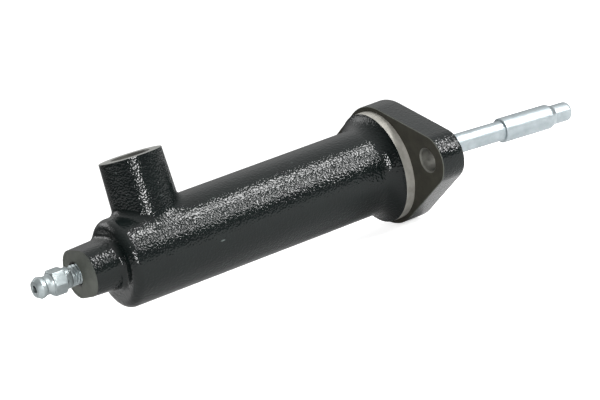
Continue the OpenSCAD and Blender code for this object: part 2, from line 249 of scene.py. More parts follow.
def drop_slivers(piece: bpy.types.Object) -> None:
    """Closes the shortest edges, which leave faces without area.

    Args:
        piece: The object whose mesh is cleaned.
    """
    mesh = bmesh.new()
    mesh.from_mesh(piece.data)
    bmesh.ops.dissolve_degenerate(mesh, dist=SLIVER_MM * MM, edges=mesh.edges)
    mesh.to_mesh(piece.data)
    mesh.free()


def smooth(piece: bpy.types.Object, sharp_angle: float) -> None:
    """Clears a mesh of slivers and shades it smooth.

    Args:
        piece: The object whose mesh is shaded.
        sharp_angle: Edges above this angle in degrees stay sharp.
    """
    drop_slivers(piece)
    piece.data.polygons.foreach_set("use_smooth", [True] * len(piece.data.polygons))
    piece.data.set_sharp_from_angle(angle=math.radians(sharp_angle))


# Finishes


class Marks(Enum):
    """Which way the tool marks of a machined surface run."""

    TURNED = "X"
    FACED_ALONG_X = "YZ"
    FACED_ALONG_Z = "XY"


def new_material(name: str) -> tuple[bpy.types.Material, bpy.types.NodeTree, bpy.types.Node, Any]:
    """Makes an empty material.

    Args:
        name: The material's name.

    Returns:
        The material, its tree, its principled shader and the object coordinates' socket.
    """
    material = bpy.data.materials.new(name)
    material.use_nodes = True
    tree = material.node_tree
    shader = tree.nodes["Principled BSDF"]
    place = add_node(tree, "TexCoord", {}, {}).outputs["Object"]
    return material, tree, shader, place


@dataclass(frozen=True)
class PaintedIron:
    """Gloss black enamel sprayed over rough cast iron, whose pebbled skin breaks every highlight into sparkles."""

    colour: str = "#080c0c"
    worn_colour: str = "#0f1615"
    scuff_colour: str = "#6a7471"
    roughness: float = 0.09
    roughness_drop: float = 0.04
    roughness_rise: float = 0.05
    lacquer_ior: float = 1.37
    # the casting's grain of about half a millimetre, drawn a little coarser so that it shows
    pebble_mm: float = 0.76
    pebble_height_mm: float = 0.115
    swell_mm: float = 1.5
    swell_share: float = 0.8
    warp_mm: float = 1.4
    warp_reach_mm: float = 0.35
    # broad patches where handling has dulled the paint, and the scuffs in them
    patch_mm: float = 9.0
    scuff_mm: float = 3.6
    scuff_strength: float = 0.5

    def build(self) -> bpy.types.Material:
        """Builds the material.

        Returns:
            The new material.
        """
        material, tree, shader, place = new_material("gloss_enamel_on_cast_iron")
        tint = add_node(tree, "TexNoise", {"Scale": 1 / (self.patch_mm * MM), "Detail": 3.0}, {"Vector": place})
        blend = add_node(
            tree, "Mix", {"data_type": "RGBA", 6: linear(self.colour), 7: linear(self.worn_colour)},
            {0: tint.outputs["Fac"]},
        )
        # handling scuffs: sparse dull specks under a millimetre wide, drawn out to short scratches
        drawn = add_node(tree, "Mapping", {"Rotation": (0.5, 0.3, 0.9), "Scale": (0.3, 1.0, 1.0)}, {"Vector": place})
        specks = add_node(tree, "TexVoronoi", {"Scale": 1 / (self.scuff_mm * MM)}, {"Vector": drawn.outputs[0]})
        speck = add_node(
            tree, "MapRange", {"From Min": 0.05, "From Max": 0.1, "To Min": self.scuff_strength, "To Max": 0.0},
            {"Value": specks.outputs["Distance"]},
        )
        handled = add_node(
            tree, "MapRange", {"From Min": 0.48, "From Max": 0.56}, {"Value": tint.outputs["Fac"]},
        )
        scuffs = add_node(
            tree, "Math", {"operation": "MULTIPLY"}, {0: speck.outputs["Result"], 1: handled.outputs["Result"]},
        )
        scuffed = add_node(
            tree, "Mix", {"data_type": "RGBA", 7: linear(self.scuff_colour)},
            {0: scuffs.outputs[0], 6: blend.outputs[2]},
        )
        warp = add_node(tree, "TexNoise", {"Scale": 1 / (self.warp_mm * MM), "Detail": 2.0}, {"Vector": place})
        bent = add_node(
            tree, "VectorMath", {"operation": "MULTIPLY_ADD", 1: (self.warp_reach_mm * MM,) * 3},
            {0: warp.outputs["Color"], 2: place},
        )
        pebbles = add_node(
            tree, "TexVoronoi", {"feature": "SMOOTH_F1", "Scale": 1 / (self.pebble_mm * MM), "Smoothness": 0.7},
            {"Vector": bent.outputs[0]},
        )
        swell = add_node(
            tree, "TexNoise", {"Scale": 1 / (self.swell_mm * MM), "Detail": 3.0, "Roughness": 0.6}, {"Vector": place},
        )
        mixed = add_node(
            tree, "Math", {"operation": "MULTIPLY_ADD", 1: self.swell_share},
            {0: swell.outputs["Fac"], 2: pebbles.outputs["Distance"]},
        )
        bump = add_node(
            tree, "Bump", {"Strength": 1.0, "Distance": self.pebble_height_mm * MM}, {"Height": mixed.outputs[0]},
        )
        gloss = add_node(
            tree, "MapRange",
            {"To Min": self.roughness - self.roughness_drop, "To Max": self.roughness + self.roughness_rise},
            {"Value": tint.outputs["Fac"]},
        )
        tree.links.new(scuffed.outputs[2], shader.inputs["Base Color"])
        tree.links.new(bump.outputs["Normal"], shader.inputs["Normal"])
        tree.links.new(gloss.outputs["Result"], shader.inputs["Roughness"])
        shader.inputs["IOR"].default_value = self.lacquer_ior
        return material


@dataclass(frozen=True)
class MachinedMetal:
    """Bare or plated metal with the fine tool marks that a lathe or mill leaves."""

    name: str
    colour: str
    stain: str
    roughness: float
    marks: Marks
    metallic: float = 1.0
    # a real feed is 0.1 to 0.2 mm a turn, too fine to show, so the marks are drawn two to four times as coarse
    pitch_mm: float = 0.45
    depth_mm: float = 0.006
    wander_mm: float = 3.0
    grain_mm: float = 0.5
    stain_mm: float = 5.0
    centre: tuple[float, float, float] = (0, 0, 0)
    specular: float = 0.5
    roughness_rise: float = 0.12

    def build(self) -> bpy.types.Material:
        """Builds the material.

        Returns:
            The new material.
        """
        material, tree, shader, place = new_material(self.name)
        moved = add_node(
            tree, "VectorMath", {"operation": "SUBTRACT", 1: tuple(c * MM for c in self.centre)}, {0: place}
        )
        keep = {Marks.TURNED: (1, 0, 0), Marks.FACED_ALONG_X: (0, 1, 1), Marks.FACED_ALONG_Z: (1, 1, 0)}[self.marks]
        flat = add_node(tree, "VectorMath", {"operation": "MULTIPLY", 1: keep}, {0: moved.outputs[0]})
        reach = add_node(tree, "VectorMath", {"operation": "LENGTH"}, {0: flat.outputs[0]})
        drift = add_node(tree, "TexNoise", {"Scale": 1 / (self.wander_mm * MM), "Detail": 2.0}, {"Vector": place})
        phase = add_node(
            tree, "Math", {"operation": "MULTIPLY_ADD", 1: FULL_TURN / (self.pitch_mm * MM)},
            {0: reach.outputs["Value"], 2: drift.outputs["Fac"]},
        )
        groove = add_node(tree, "Math", {"operation": "SINE"}, {0: phase.outputs[0]})
        grain = add_node(tree, "TexNoise", {"Scale": 1 / (self.grain_mm * MM), "Detail": 4.0}, {"Vector": place})
        height = add_node(
            tree, "Math", {"operation": "MULTIPLY_ADD", 1: 0.5}, {0: groove.outputs[0], 2: grain.outputs["Fac"]}
        )
        bump = add_node(tree, "Bump", {"Strength": 0.8, "Distance": self.depth_mm * MM}, {"Height": height.outputs[0]})
        patches = add_node(
            tree, "TexNoise", {"Scale": 1 / (self.stain_mm * MM), "Detail": 5.0, "Roughness": 0.62},
            {"Vector": place},
        )
        share = add_node(tree, "MapRange", {"From Min": 0.35, "From Max": 0.7}, {"Value": patches.outputs["Fac"]})
        blend = add_node(
            tree, "Mix", {"data_type": "RGBA", 6: linear(self.colour), 7: linear(self.stain)},
            {0: share.outputs["Result"]},
        )
        gloss = add_node(
            tree, "MapRange", {"To Min": self.roughness, "To Max": self.roughness + self.roughness_rise},
            {"Value": patches.outputs["Fac"]},
        )
        tree.links.new(blend.outputs[2], shader.inputs["Base Color"])
        tree.links.new(bump.outputs["Normal"], shader.inputs["Normal"])
        tree.links.new(gloss.outputs["Result"], shader.inputs["Roughness"])
        shader.inputs["Metallic"].default_value = self.metallic
        shader.inputs["Specular IOR Level"].default_value = self.specular
        return material


@dataclass(frozen=True)
class MouldedRubber:
    """Nitrile rubber from a steel mould: nearly black, satin, with a faint bloom in broad patches."""

    name: str
    colour: str = "#151515"
    bloom: str = "#242423"
    roughness: float = 0.55
    patch_mm: float = 6.0
    # the mould's fine erosion texture, drawn coarser than its real 0.1 mm so that it shows
    grain_mm: float = 0.4
    grain_height_mm: float = 0.02

    def build(self) -> bpy.types.Material:
        """Builds the material.

        Returns:
            The new material.
        """
        material, tree, shader, place = new_material(self.name)
        patches = add_node(tree, "TexNoise", {"Scale": 1 / (self.patch_mm * MM), "Detail": 4.0}, {"Vector": place})
        blend = add_node(
            tree, "Mix", {"data_type": "RGBA", 6: linear(self.colour), 7: linear(self.bloom)},
            {0: patches.outputs["Fac"]},
        )
        grain = add_node(tree, "TexNoise", {"Scale": 1 / (self.grain_mm * MM), "Detail": 3.0}, {"Vector": place})
        bump = add_node(
            tree, "Bump", {"Strength": 0.5, "Distance": self.grain_height_mm * MM}, {"Height": grain.outputs["Fac"]},
        )
        tree.links.new(blend.outputs[2], shader.inputs["Base Color"])
        tree.links.new(bump.outputs["Normal"], shader.inputs["Normal"])
        shader.inputs["Roughness"].default_value = self.roughness
        return material


# Sub-assemblies


@dataclass(frozen=True)
class Arc:
    """One arc of an outline in the YZ plane, with its angles from +Y in degrees."""

    y: float
    z: float
    radius: float
    start: float
    end: float

    def points(self, grow: float, steps: int) -> list[tuple[float, float, float]]:
        """Lists the arc's points.

        Args:
            grow: Extra radius.
            steps: Segments in the arc.

        Returns:
            Each point's y and z, and the angle of its outward normal.
        """
        angles = [math.radians(self.start + (self.end - self.start) * i / steps) for i in range(steps + 1)]
        radius = self.radius + grow
        return [(self.y + radius * math.cos(a), self.z + radius * math.sin(a), a) for a in angles]


class Region(Enum):
    """The differently finished parts of the casting, in the order of its material slots."""

    PAINT = 0
    MOUNTING_FACE = 1
    REGISTER = 2
    SPOT_FACE = 3
    PORT_FACE = 4
    DRILLED = 5
    HONED = 6
    BOLT_HOLE = 7


def saw(turns: float) -> float:
    """Gives the height of a thread's flank, from 0 in the root to 1 on the crest, at a number of turns."""
    return 1 - abs(2 * (turns % 1) - 1)


@dataclass
class Casting:
    """The cast body: barrel, flare, register, flange, port boss and bleed boss, with all that is machined in it."""

    barrel_radius: float = 17.0
    closed_end: float = -121.5
    end_round: float = 3.5
    register_radius: float = 21.8
    register_length: float = 3.75
    flare_length: float = 6.75
    flange_thickness: float = 10.5
    flange_edge: float = 0.25
    flange_round: float = 1.3
    # how far the turned form goes on inside the flange, and the fillets' feet above and below the skin
    inner_reach: float = 4.0
    foot_lap: float = 0.02
    foot_sink: float = 0.3
    rim_margin: float = 0.15
    waist_radius: float = 23.7
    ear_offset: float = 33.5
    ear_radius: float = 10.0
    bolt_radius: float = 4.5
    port_station: float = PORT_STATION
    port_height: float = 36.0
    port_radius: float = 12.05
    port_draft: float = 1.6
    port_fillet: float = 2.4
    port_thread_radius: float = 7.0
    port_pitch: float = 1.5
    port_thread_depth: float = 0.75
    port_floor: float = 23.0
    port_passage_radius: float = 2.25
    bleed_face: float = -133.4
    bleed_radius: float = 9.3
    bleed_inner_radius: float = 8.8
    bleed_draft: float = 2.5
    bleed_fillet: float = 1.9
    bleed_centre: tuple[float, float] = BLEED_CENTRE
    bleed_inner_centre: tuple[float, float] = (-1.7, 0.9)
    bleed_hole_radius: float = 4.04
    bleed_seat: float = BLEED_SEAT
    bleed_passage_radius: float = 1.25
    spot_radius: float = 8.4
    spot_depth: float = 0.12
    bore_radius: float = 11.1
    bore_end: float = -114.0
    snap_groove: tuple[float, float] = (0.19, 1.49)
    snap_groove_depth: float = 1.1
    boot_seat: float = 2.64
    boot_seat_depth: float = 1.4
    boot_groove: tuple[float, float] = (4.04, 6.64)
    boot_groove_depth: float = 2.6
    finishes: list[Any] = field(default_factory=lambda: [
        PaintedIron(),
        # a milled face that was phosphated: dull grey-brown with hardly any gloss
        MachinedMetal("milled_and_phosphated_iron", "#3a3932", "#302f2a", 0.6, Marks.FACED_ALONG_X, metallic=0.0,
                      specular=0.12),
        # fresh from the lathe: the brightest ring, pale grey with a soft sheen
        MachinedMetal("turned_bare_iron", "#a19f98", "#7f7e77", 0.5, Marks.TURNED, metallic=0.3),
        # cut before painting and dulled since: mid grey
        MachinedMetal("spot_faced_iron", "#5b5e57", "#4b4e48", 0.5, Marks.FACED_ALONG_X, metallic=0.4,
                      centre=(0, *BLEED_CENTRE)),
        # the sealing face of the port: bright, with circles about the hole
        MachinedMetal("milled_port_face", "#b9bab6", "#8f908b", 0.42, Marks.FACED_ALONG_Z,
                      centre=(PORT_STATION, 0, 0)),
        # tapped and drilled holes: metal painted dark grey as the shade inside the holes
        MachinedMetal("drilled_iron_painted_shade", "#454541", "#2f2f2c", 0.45, Marks.TURNED, metallic=0.6),
        # the bore: honed nearly to a mirror
        MachinedMetal("honed_iron", "#8b8c8a", "#72736f", 0.25, Marks.TURNED),
        # the bolt holes: reamed, painted lighter grey for the light caught on their walls, then a little stained
        MachinedMetal("reamed_iron_painted_light", "#74746e", "#4c4c47", 0.5, Marks.TURNED, metallic=0.6),
    ])

    def end_surface(self, reach: float) -> float:
        """Gives the station of the closed end's skin.

        Args:
            reach: Distance from the bore axis.

        Returns:
            The station along X.
        """
        flat = self.barrel_radius - self.end_round
        out = min(max(reach - flat, 0), self.end_round)
        return self.closed_end + self.end_round - math.sqrt(self.end_round ** 2 - out ** 2)

    def barrel(self) -> bpy.types.Object:
        """Builds the barrel, its flare and the register as one turned form.

        Returns:
            The turned form, which the other forms join.
        """
        rise = self.register_radius - self.barrel_radius
        curve = (self.flare_length ** 2 + rise ** 2) / (2 * rise)
        start = -self.register_length - self.flare_length
        sweep = math.asin(self.flare_length / curve)
        flare = [
            (self.barrel_radius + curve * (1 - math.cos(sweep * i / 16)), start + curve * math.sin(sweep * i / 16))
            for i in range(17)
        ]
        corners = [(0, self.closed_end, 0), (self.barrel_radius, self.closed_end, self.end_round)]
        front = rounded(corners + [(self.barrel_radius, start, 0)], steps=14)[:-1]
        length = start - (self.closed_end + self.end_round)
        side = [(self.barrel_radius, start - length * (12 - i) / 12) for i in range(1, 12)]
        inside = self.inner_reach
        register = [(self.register_radius, 0.0), (self.register_radius, inside), (0, inside)]
        return turned("casting", front + side + flare + register, count=256)

    def flange(self) -> bpy.types.Object:
        """Builds the two-bolt flange with a fine machined edge in front and a cast round behind.

        Returns:
            The flange as a closed form.
        """
        lean = math.degrees(math.asin((self.waist_radius - self.ear_radius) / self.ear_offset))
        turn = 90 - lean
        arcs = [
            Arc(self.ear_offset, 0, self.ear_radius, -turn, turn),
            Arc(0, 0, self.waist_radius, turn, 180 - turn),
            Arc(-self.ear_offset, 0, self.ear_radius, 180 - turn, 180 + turn),
            Arc(0, 0, self.waist_radius, 180 + turn, 360 - turn),
        ]
        edge, back = self.flange_edge, self.flange_round
        rounds = [(self.flange_thickness - back * (1 - math.sin(a)), -back * (1 - math.cos(a)))
                  for a in (math.radians(90 * i / 6) for i in range(7))]
        stations = [(0.0, -edge), (edge, 0.0), (self.inner_reach, 0.0)] + rounds
        return loft("flange", [
            [Vector((x, y, z)) for arc in arcs for y, z, _ in arc.points(grow, 28)] for x, grow in stations
        ])

    def port_boss(self) -> bpy.types.Object:
        """Builds the drafted port boss with a cast fillet that follows the barrel.

        Returns:
            The port boss as a closed form.
        """
        count, draft = 192, math.tan(math.radians(self.port_draft))
        rings: list[Ring] = []

        def skin(reach: float, angle: float) -> float:
            """Gives the barrel's height under a point at a reach and angle round the boss."""
            return math.sqrt(self.barrel_radius ** 2 - (reach * math.sin(angle)) ** 2)

        root = self.port_radius + (self.port_height - self.barrel_radius - self.port_fillet) * draft
        for i in range(9):
            share = i / 8
            reach = self.port_radius + (root - self.port_radius) * share
            rings.append([
                axis_point("Z", self.port_height + (skin(root, a) + self.port_fillet - self.port_height) * share,
                           reach, a, (self.port_station, 0))
                for a in (FULL_TURN * k / count for k in range(count))
            ])
        foot = [(self.port_fillet * (1 - math.cos(t)), self.port_fillet * (1 - math.sin(t)))
                for t in (math.pi / 2 * i / 8 for i in range(1, 9))]
        for out, up in [*foot, (self.port_fillet + 0.1, -self.foot_sink)]:
            rings.append([
                axis_point("Z", skin(root + out, a) + up + self.foot_lap, root + out, a, (self.port_station, 0))
                for a in (FULL_TURN * k / count for k in range(count))
            ])
        rings.append(turned_ring(8.0, self.port_radius - 3, "Z", (self.port_station, 0), count))
        return loft("port_boss", rings)

    def bleed_boss(self) -> bpy.types.Object:
        """Builds the slot-shaped bleed boss with a cast fillet on the closed end.

        Returns:
            The bleed boss as a closed form.
        """
        (y_out, z_out), (y_in, z_in) = self.bleed_centre, self.bleed_inner_centre
        tilt = math.degrees(math.atan2(z_out - z_in, y_out - y_in))
        narrowing = self.bleed_radius - self.bleed_inner_radius
        wrap = 90 + math.degrees(math.asin(narrowing / math.hypot(y_out - y_in, z_out - z_in)))
        arcs = [
            Arc(y_out, z_out, self.bleed_radius, tilt - wrap, tilt + wrap),
            Arc(y_in, z_in, self.bleed_inner_radius, tilt + wrap, tilt + 360 - wrap),
        ]
        draft = math.tan(math.radians(self.bleed_draft))
        root = (self.closed_end - self.bleed_face - self.bleed_fillet) * draft
        inside = self.barrel_radius - self.rim_margin

        def ring(grow: float, lift: float, share: float = 1.0) -> Ring:
            """Makes a ring at a lift above the end's skin, or at a share of the way down from the face.

            Args:
                grow: Extra radius round the slot.
                lift: Height above the end's skin.
                share: Share of the way from the machined face to that height.

            Returns:
                The ring's points.
            """
            points = []
            for y, z, normal in (p for arc in arcs for p in arc.points(grow, 60)):
                over = max(math.hypot(y, z) - inside, 0)
                y, z = y - over * math.cos(normal), z - over * math.sin(normal)
                foot = self.end_surface(math.hypot(y, z)) - lift
                points.append(Vector((self.bleed_face + (foot - self.bleed_face) * share, y, z)))
            return points

        rings = [ring(root * i / 8, self.bleed_fillet, i / 8) for i in range(9)]
        for t in (math.pi / 2 * i / 8 for i in range(1, 9)):
            out, up = self.bleed_fillet * (1 - math.cos(t)), self.bleed_fillet * (1 - math.sin(t))
            rings.append(ring(root + out, up + self.foot_lap))
        rings.append(ring(root + self.bleed_fillet + 0.1, -self.foot_sink))
        rings.append(ring(-2.5, -3.0))
        return loft("bleed_boss", rings)

    def cutters(self) -> list[bpy.types.Object]:
        """Builds what is drilled, bored and tapped away.

        Returns:
            The closed forms that are cut away, in order.
        """
        bore, end = self.bore_radius, self.flange_thickness
        ring_root, seat, groove = (
            bore + self.snap_groove_depth, bore + self.boot_seat_depth, bore + self.boot_groove_depth,
        )
        (ring_back, ring_front), (groove_back, groove_front) = self.snap_groove, self.boot_groove
        main = turned("bore", [
            (0, self.bore_end), (bore, self.bore_end), (bore, ring_back), (ring_root, ring_back),
            (ring_root, ring_front), (bore, ring_front), (bore, self.boot_seat), (seat, self.boot_seat),
            (seat, groove_back), (groove, groove_back), (groove, groove_front),
            (seat, groove_front), (seat, end - 0.6), (seat + 1.0, end + 0.4), (0, end + 0.4),
        ])
        holes = [
            turned("bolt_hole", [(0, -1), (self.bolt_radius + 1.5, -1), (self.bolt_radius, 0.5),
                                 (self.bolt_radius, end - 0.5), (self.bolt_radius + 1, end + 0.5), (0, end + 0.5)],
                   centre=(side * self.ear_offset, 0), count=96)
            for side in (-1, 1)
        ]
        face, hole, passage = self.bleed_face, self.bleed_hole_radius, self.bleed_passage_radius
        bleed = turned("bleed_hole", [
            (0, face - 1), (hole + 2, face - 1), (hole + 1, face), (hole, face + 1), (hole, self.bleed_seat),
            (passage, self.bleed_seat + 2.8), (passage, self.bore_end + 1), (0, self.bore_end + 1),
        ], centre=self.bleed_centre, count=128)
        mark = turned("spot_face", [
            (0, face - 1), (self.spot_radius, face - 1), (self.spot_radius, face + self.spot_depth),
            (0, face + self.spot_depth),
        ], centre=self.bleed_centre)
        return [main, *holes, mark, bleed, self.port_thread()]

    def port_thread(self) -> bpy.types.Object:
        """Builds the tapped port hole with its passage and chamfer.

        Returns:
            The hole as a closed form.
        """
        root, depth, pitch = self.port_thread_radius, self.port_thread_depth, self.port_pitch
        top, low = self.port_height, self.port_floor + 0.4
        rows = int((top - 0.6 - low) / pitch * 10)
        place = {"axis": "Z", "centre": (self.port_station, 0), "count": 128}
        rings = [turned_ring(2.0, self.port_passage_radius, **place),
                 turned_ring(self.port_floor - 2, self.port_passage_radius, **place),
                 turned_ring(self.port_floor, root - depth - 0.4, **place)]
        for i in range(rows + 1):
            height = low + (top - 0.6 - low) * i / rows
            rings.append(turned_ring(
                height, lambda a, h=height: root - depth * (1 - saw(h / pitch - a / FULL_TURN)), **place
            ))
        rings += [turned_ring(top - 0.5, root, **place), turned_ring(top + 0.4, root + 0.9, **place)]
        return loft("port_thread", rings)

    def region(self, centre: Vector, normal: Vector) -> Region:
        """Names the finish of a face of the casting, with a hair's margin round each machined place.

        Args:
            centre: The face's centre in millimetres.
            normal: The face's normal.

        Returns:
            The face's region.
        """
        x, y, z = centre
        from_axis = math.hypot(y, z)
        if normal.x < -0.9 and abs(x) < 0.02:
            return Region.MOUNTING_FACE
        if normal.z > 0.9 and z > self.port_height - 0.1:
            return Region.PORT_FACE
        if normal.x < -0.9 and x < self.bleed_face + 0.2:
            return Region.SPOT_FACE
        if math.hypot(x - self.port_station, y) < self.port_thread_radius + 0.6 and z > 2:
            return Region.DRILLED
        if math.hypot(y - self.bleed_centre[0], z - self.bleed_centre[1]) < 5.2 and x < self.closed_end + 4:
            return Region.DRILLED
        if self.bleed_face + 0.01 < x < self.bleed_face + 0.2:
            return Region.SPOT_FACE
        if math.hypot(abs(y) - self.ear_offset, z) < self.bolt_radius + 0.8 and abs(normal.x) < 0.9:
            return Region.BOLT_HOLE
        if x > self.bore_end - 0.5 and from_axis < self.bore_radius + 2.7 and x < self.flange_thickness - 0.01:
            return Region.HONED
        if -self.register_length < x < -0.02 and from_axis > self.register_radius - 0.1:
            return Region.REGISTER
        if 0.02 < x < 0.24 and abs(normal.x) < 0.95:
            return Region.SPOT_FACE
        return Region.PAINT

    def build(self) -> bpy.types.Object:
        """Builds and dresses the casting.

        Returns:
            The finished piece, which rides on the housing.
        """
        piece = self.barrel()
        combine(piece, [self.flange(), self.port_boss(), self.bleed_boss()], "UNION")
        combine(piece, self.cutters(), "DIFFERENCE")
        piece.data.materials.clear()
        for finish in self.finishes:
            piece.data.materials.append(finish.build())
        for polygon in piece.data.polygons:
            polygon.material_index = self.region(polygon.center / MM, polygon.normal).value
        smooth(piece, 24)
        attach(piece, "housing")
        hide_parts("cylinder_body")
        return piece


# bright zinc plating over turned steel: cool, pale and satin, with faint rings
ZINC = MachinedMetal("zinc_plated_steel", "#b0b9bc", "#9ba4a8", 0.33, Marks.TURNED, pitch_mm=0.6, depth_mm=0.004)


@dataclass
class BleedScrew:
    """The bleed screw: drilled nipple with a hose barb, chamfered hexagon, collar and thread."""

    centre: tuple[float, float] = BLEED_CENTRE
    tip: float = -150.6
    hex_front: float = -144.2
    hex_back: float = -138.7
    hex_width: float = 9.0
    hex_turn: float = 14.0
    barb_radius: float = 4.2
    groove_radius: float = 3.2
    hole_radius: float = 1.5
    thread_radius: float = 4.0
    thread_pitch: float = 1.25
    thread_depth: float = 0.68
    chamfer: float = 0.55
    seat: float = BLEED_SEAT
    # the same plating with more handling on it: a little darker and rougher, with closer marks
    finish: MachinedMetal = replace(
        ZINC, name="zinc_plated_screw_steel", colour="#a7afb0", stain="#8b9496", roughness=0.36, pitch_mm=0.35,
    )

    def hex_radius(self, angle: float, limit: float) -> float:
        """Gives the hexagon's radius.

        Args:
            angle: Angle round the screw in radians.
            limit: The largest radius that the chamfer leaves.

        Returns:
            The radius in millimetres.
        """
        step = math.pi / 3
        off = (angle - math.radians(self.hex_turn)) % step - step / 2
        return min(self.hex_width / 2 / math.cos(off), limit)

    def flank(self, station: float, angle: float, fade: float) -> float:
        """Gives the thread's radius at a station and angle, with its depth faded in from 0 to 1."""
        depth = self.thread_depth
        return self.thread_radius - depth + depth * fade * saw(station / self.thread_pitch + angle / FULL_TURN)

    def build(self) -> bpy.types.Object:
        """Builds and dresses the bleed screw.

        Returns:
            The finished piece, which rides on its own body.
        """
        barb, groove, tip = self.barb_radius, self.groove_radius, self.tip
        nipple = rounded([
            (0, tip + 8, 0), (self.hole_radius, tip + 8, 0), (self.hole_radius, tip + 0.2, 0),
            (self.hole_radius + 0.2, tip, 0), (barb - 1.1, tip, 0.15), (barb, tip + 1.8, 0.4),
            (barb - 0.3, tip + 3.2, 0.4), (groove + 0.3, tip + 4.0, 0.5), (groove + 0.4, tip + 5.4, 0.4),
            (groove + 0.8, self.hex_front - 0.3, 0.4), (groove + 0.9, self.hex_front, 0),
        ], steps=5)
        count = 240
        rings = [turned_ring(s, max(r, TINY_RADIUS), "X", self.centre, count) for r, s in nipple]
        corner = self.hex_width / math.sqrt(3)
        flat = self.hex_width / 2 - 0.12
        shares = (0.0, 0.25, 0.5, 0.75, 1.0)
        rims = [(self.hex_front + self.chamfer * share, share) for share in shares]
        rims += [(self.hex_back - self.chamfer * share, share) for share in reversed(shares)]
        for x, share in rims:
            limit = flat + (corner - flat) * share
            rings.append(turned_ring(x, lambda a, m=limit: self.hex_radius(a, m), "X", self.centre, count))
        collar = rounded([
            (self.thread_radius + 0.1, self.hex_back, 0), (self.thread_radius + 0.1, self.hex_back + 2.1, 0.3),
            (self.thread_radius - 0.7, self.hex_back + 2.5, 0), (self.thread_radius - 0.7, self.hex_back + 2.7, 0),
        ], steps=4)
        rings += [turned_ring(s, r, "X", self.centre, count) for r, s in collar]
        start, end = self.hex_back + 2.8, self.seat - 1.2
        rows = int((end - start) / self.thread_pitch * 10)
        for i in range(rows + 1):
            x = start + (end - start) * i / rows
            fade = min(1.0, (x - start) / 0.5)
            rings.append(turned_ring(x, lambda a, s=x, f=fade: self.flank(s, a, f), "X", self.centre, count))
        cone = [(3.1, end + 0.4), (3.1, self.seat + 0.3), (1.6, self.seat + 2.1), (0.05, self.seat + 2.1)]
        rings += [turned_ring(s, r, "X", self.centre, count) for r, s in cone]
        piece = loft("bleed_screw_turned", rings)
        piece.data.materials.append(self.finish.build())
        smooth(piece, 24)
        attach(piece, "bleed_screw")
        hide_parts("bleed_screw")
        return piece


@dataclass
class PushRod:
    """The push rod: ball, neck, shaft, thicker outer part, taper and domed tip, drooping in its socket."""

    ball_station: float = BALL_STATION
    droop: float = ROD_DROOP
    ball_radius: float = 5.0
    rod_radius: float = ROD_RADIUS
    thick_radius: float = 5.0
    step: float = 65.2
    taper: float = 88.5
    length: float = 99.5
    finish: MachinedMetal = ZINC

    def build(self) -> bpy.types.Object:
        """Builds and dresses the push rod.

        Returns:
            The finished piece, which rides on its own body.
        """
        neck = self.rod_radius - 0.8
        cut = math.sqrt(self.ball_radius ** 2 - neck ** 2)
        last = math.atan2(neck, cut)
        ball = [(self.ball_radius * math.sin(a), -self.ball_radius * math.cos(a))
                for a in ((math.pi - last) * i / 24 for i in range(25))]
        shaft = rounded([
            (neck, cut, 0), (neck, self.ball_radius + 1.5, 0.6), (self.rod_radius, self.ball_radius + 2.6, 0.6),
            (self.rod_radius, self.step, 0.12), (self.thick_radius - 0.25, self.step, 0.05),
            (self.thick_radius, self.step + 0.25, 0.15), (self.thick_radius, self.taper, 0.6),
            (self.rod_radius - 0.1, self.taper + 2.5, 0.5), (self.rod_radius - 0.1, self.length - 0.5, 2.4),
            (1.0, self.length, 0.8), (0, self.length, 0),
        ], steps=6)
        piece = turned("push_rod_turned", ball[:-1] + shaft, count=160)
        place = Matrix.Translation((self.ball_station * MM, 0, 0)) @ Matrix.Rotation(math.radians(self.droop), 4, "Y")
        piece.data.transform(place)
        piece.data.materials.append(self.finish.build())
        smooth(piece, 24)
        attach(piece, "push_rod")
        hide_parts("push_rod")
        return piece


@dataclass
class ReturnSpring:
    """The wire spring in the bore, built at one fixed length."""

    back: float = -113.98
    front: float = -46.06
    mean_radius: float = 7.0
    wire: float = 1.4
    turns: float = 12.0
    # cold-drawn wire: mid grey with a satin sheen
    finish: MachinedMetal = MachinedMetal("drawn_spring_wire", "#8c8d8f", "#6b6c6e", 0.35, Marks.TURNED)

    def station(self, turn: float) -> float:
        """Gives the wire's station, with a closed turn at each end.

        Args:
            turn: Turns from the back end.

        Returns:
            Millimetres from the first turn's middle.
        """
        length = self.front - self.back - self.wire
        pitch = (length - 2 * self.wire) / (self.turns - 2)
        if turn < 1:
            return turn * self.wire
        if turn > self.turns - 1:
            return length - (self.turns - turn) * self.wire
        return self.wire + (turn - 1) * pitch

    def build(self) -> bpy.types.Object:
        """Builds and dresses the spring.

        Returns:
            The finished piece, which lies between housing and piston.
        """
        rings: list[Ring] = []
        steps, sides = 40, 12
        for i in range(int(self.turns) * steps + 1):
            turn = i / steps
            angle, x = FULL_TURN * turn, self.back + self.wire / 2 + self.station(turn)
            rings.append([
                axis_point("X", x + self.wire / 2 * math.sin(k), self.mean_radius + self.wire / 2 * math.cos(k),
                           angle, (0, 0))
                for k in (FULL_TURN * j / sides for j in range(sides))
            ])
        piece = loft("return_spring_wire", rings)
        piece.data.materials.append(self.finish.build())
        smooth(piece, 40)
        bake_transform(piece)
        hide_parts("return_spring")
        return piece


